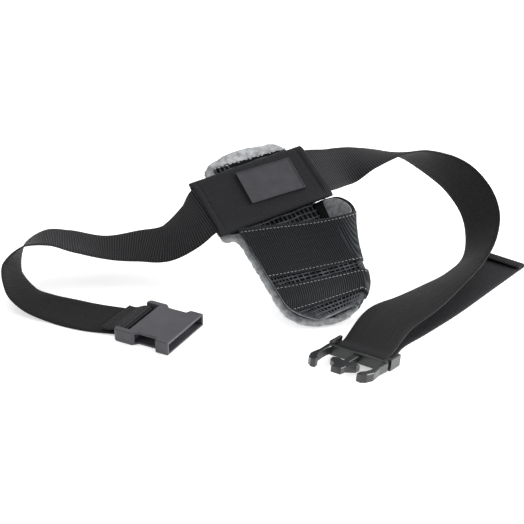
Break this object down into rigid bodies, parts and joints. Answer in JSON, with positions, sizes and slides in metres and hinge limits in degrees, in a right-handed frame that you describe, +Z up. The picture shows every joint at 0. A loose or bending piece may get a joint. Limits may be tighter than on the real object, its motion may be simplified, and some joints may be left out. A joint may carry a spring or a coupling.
{
  "type": "fishing fighting belt",
  "caption": "Padded rod-holding fighting belt laid out flat: felt-backed tongue with a webbing-faced rod pocket, a sleeve on a wide strap, and an open side-release buckle.",
  "frame": {"origin": "middle of the footprint, on the table that the belt lies on", "axes": "+X to the right along the laid-out strap, +Y away from the viewer, +Z up"},
  "size_m": [0.5364, 0.3484, 0.1188],
  "materials": {
    "felt": "grey fleece felt",
    "net": "black ladder mesh",
    "sleeve": "black woven",
    "band": "black ribbed webbing",
    "webbing": "black ribbed webbing",
    "label": "matt grey",
    "plastic": "dark grey moulded"
  },
  "bodies": {
    "root": {"felt_backing": "felt", "mesh_facing": "net", "belt_sleeve": "sleeve", "label_patch": "label", "pocket_lining": "felt", "pocket_net": "net", "pocket_band_upper": "band", "pocket_band_lower": "band", "strap_left": "webbing", "strap_right": "webbing", "strap_tail": "webbing", "buckle_socket": "plastic", "buckle_plug": "plastic"}
  },
  "joints": []
}
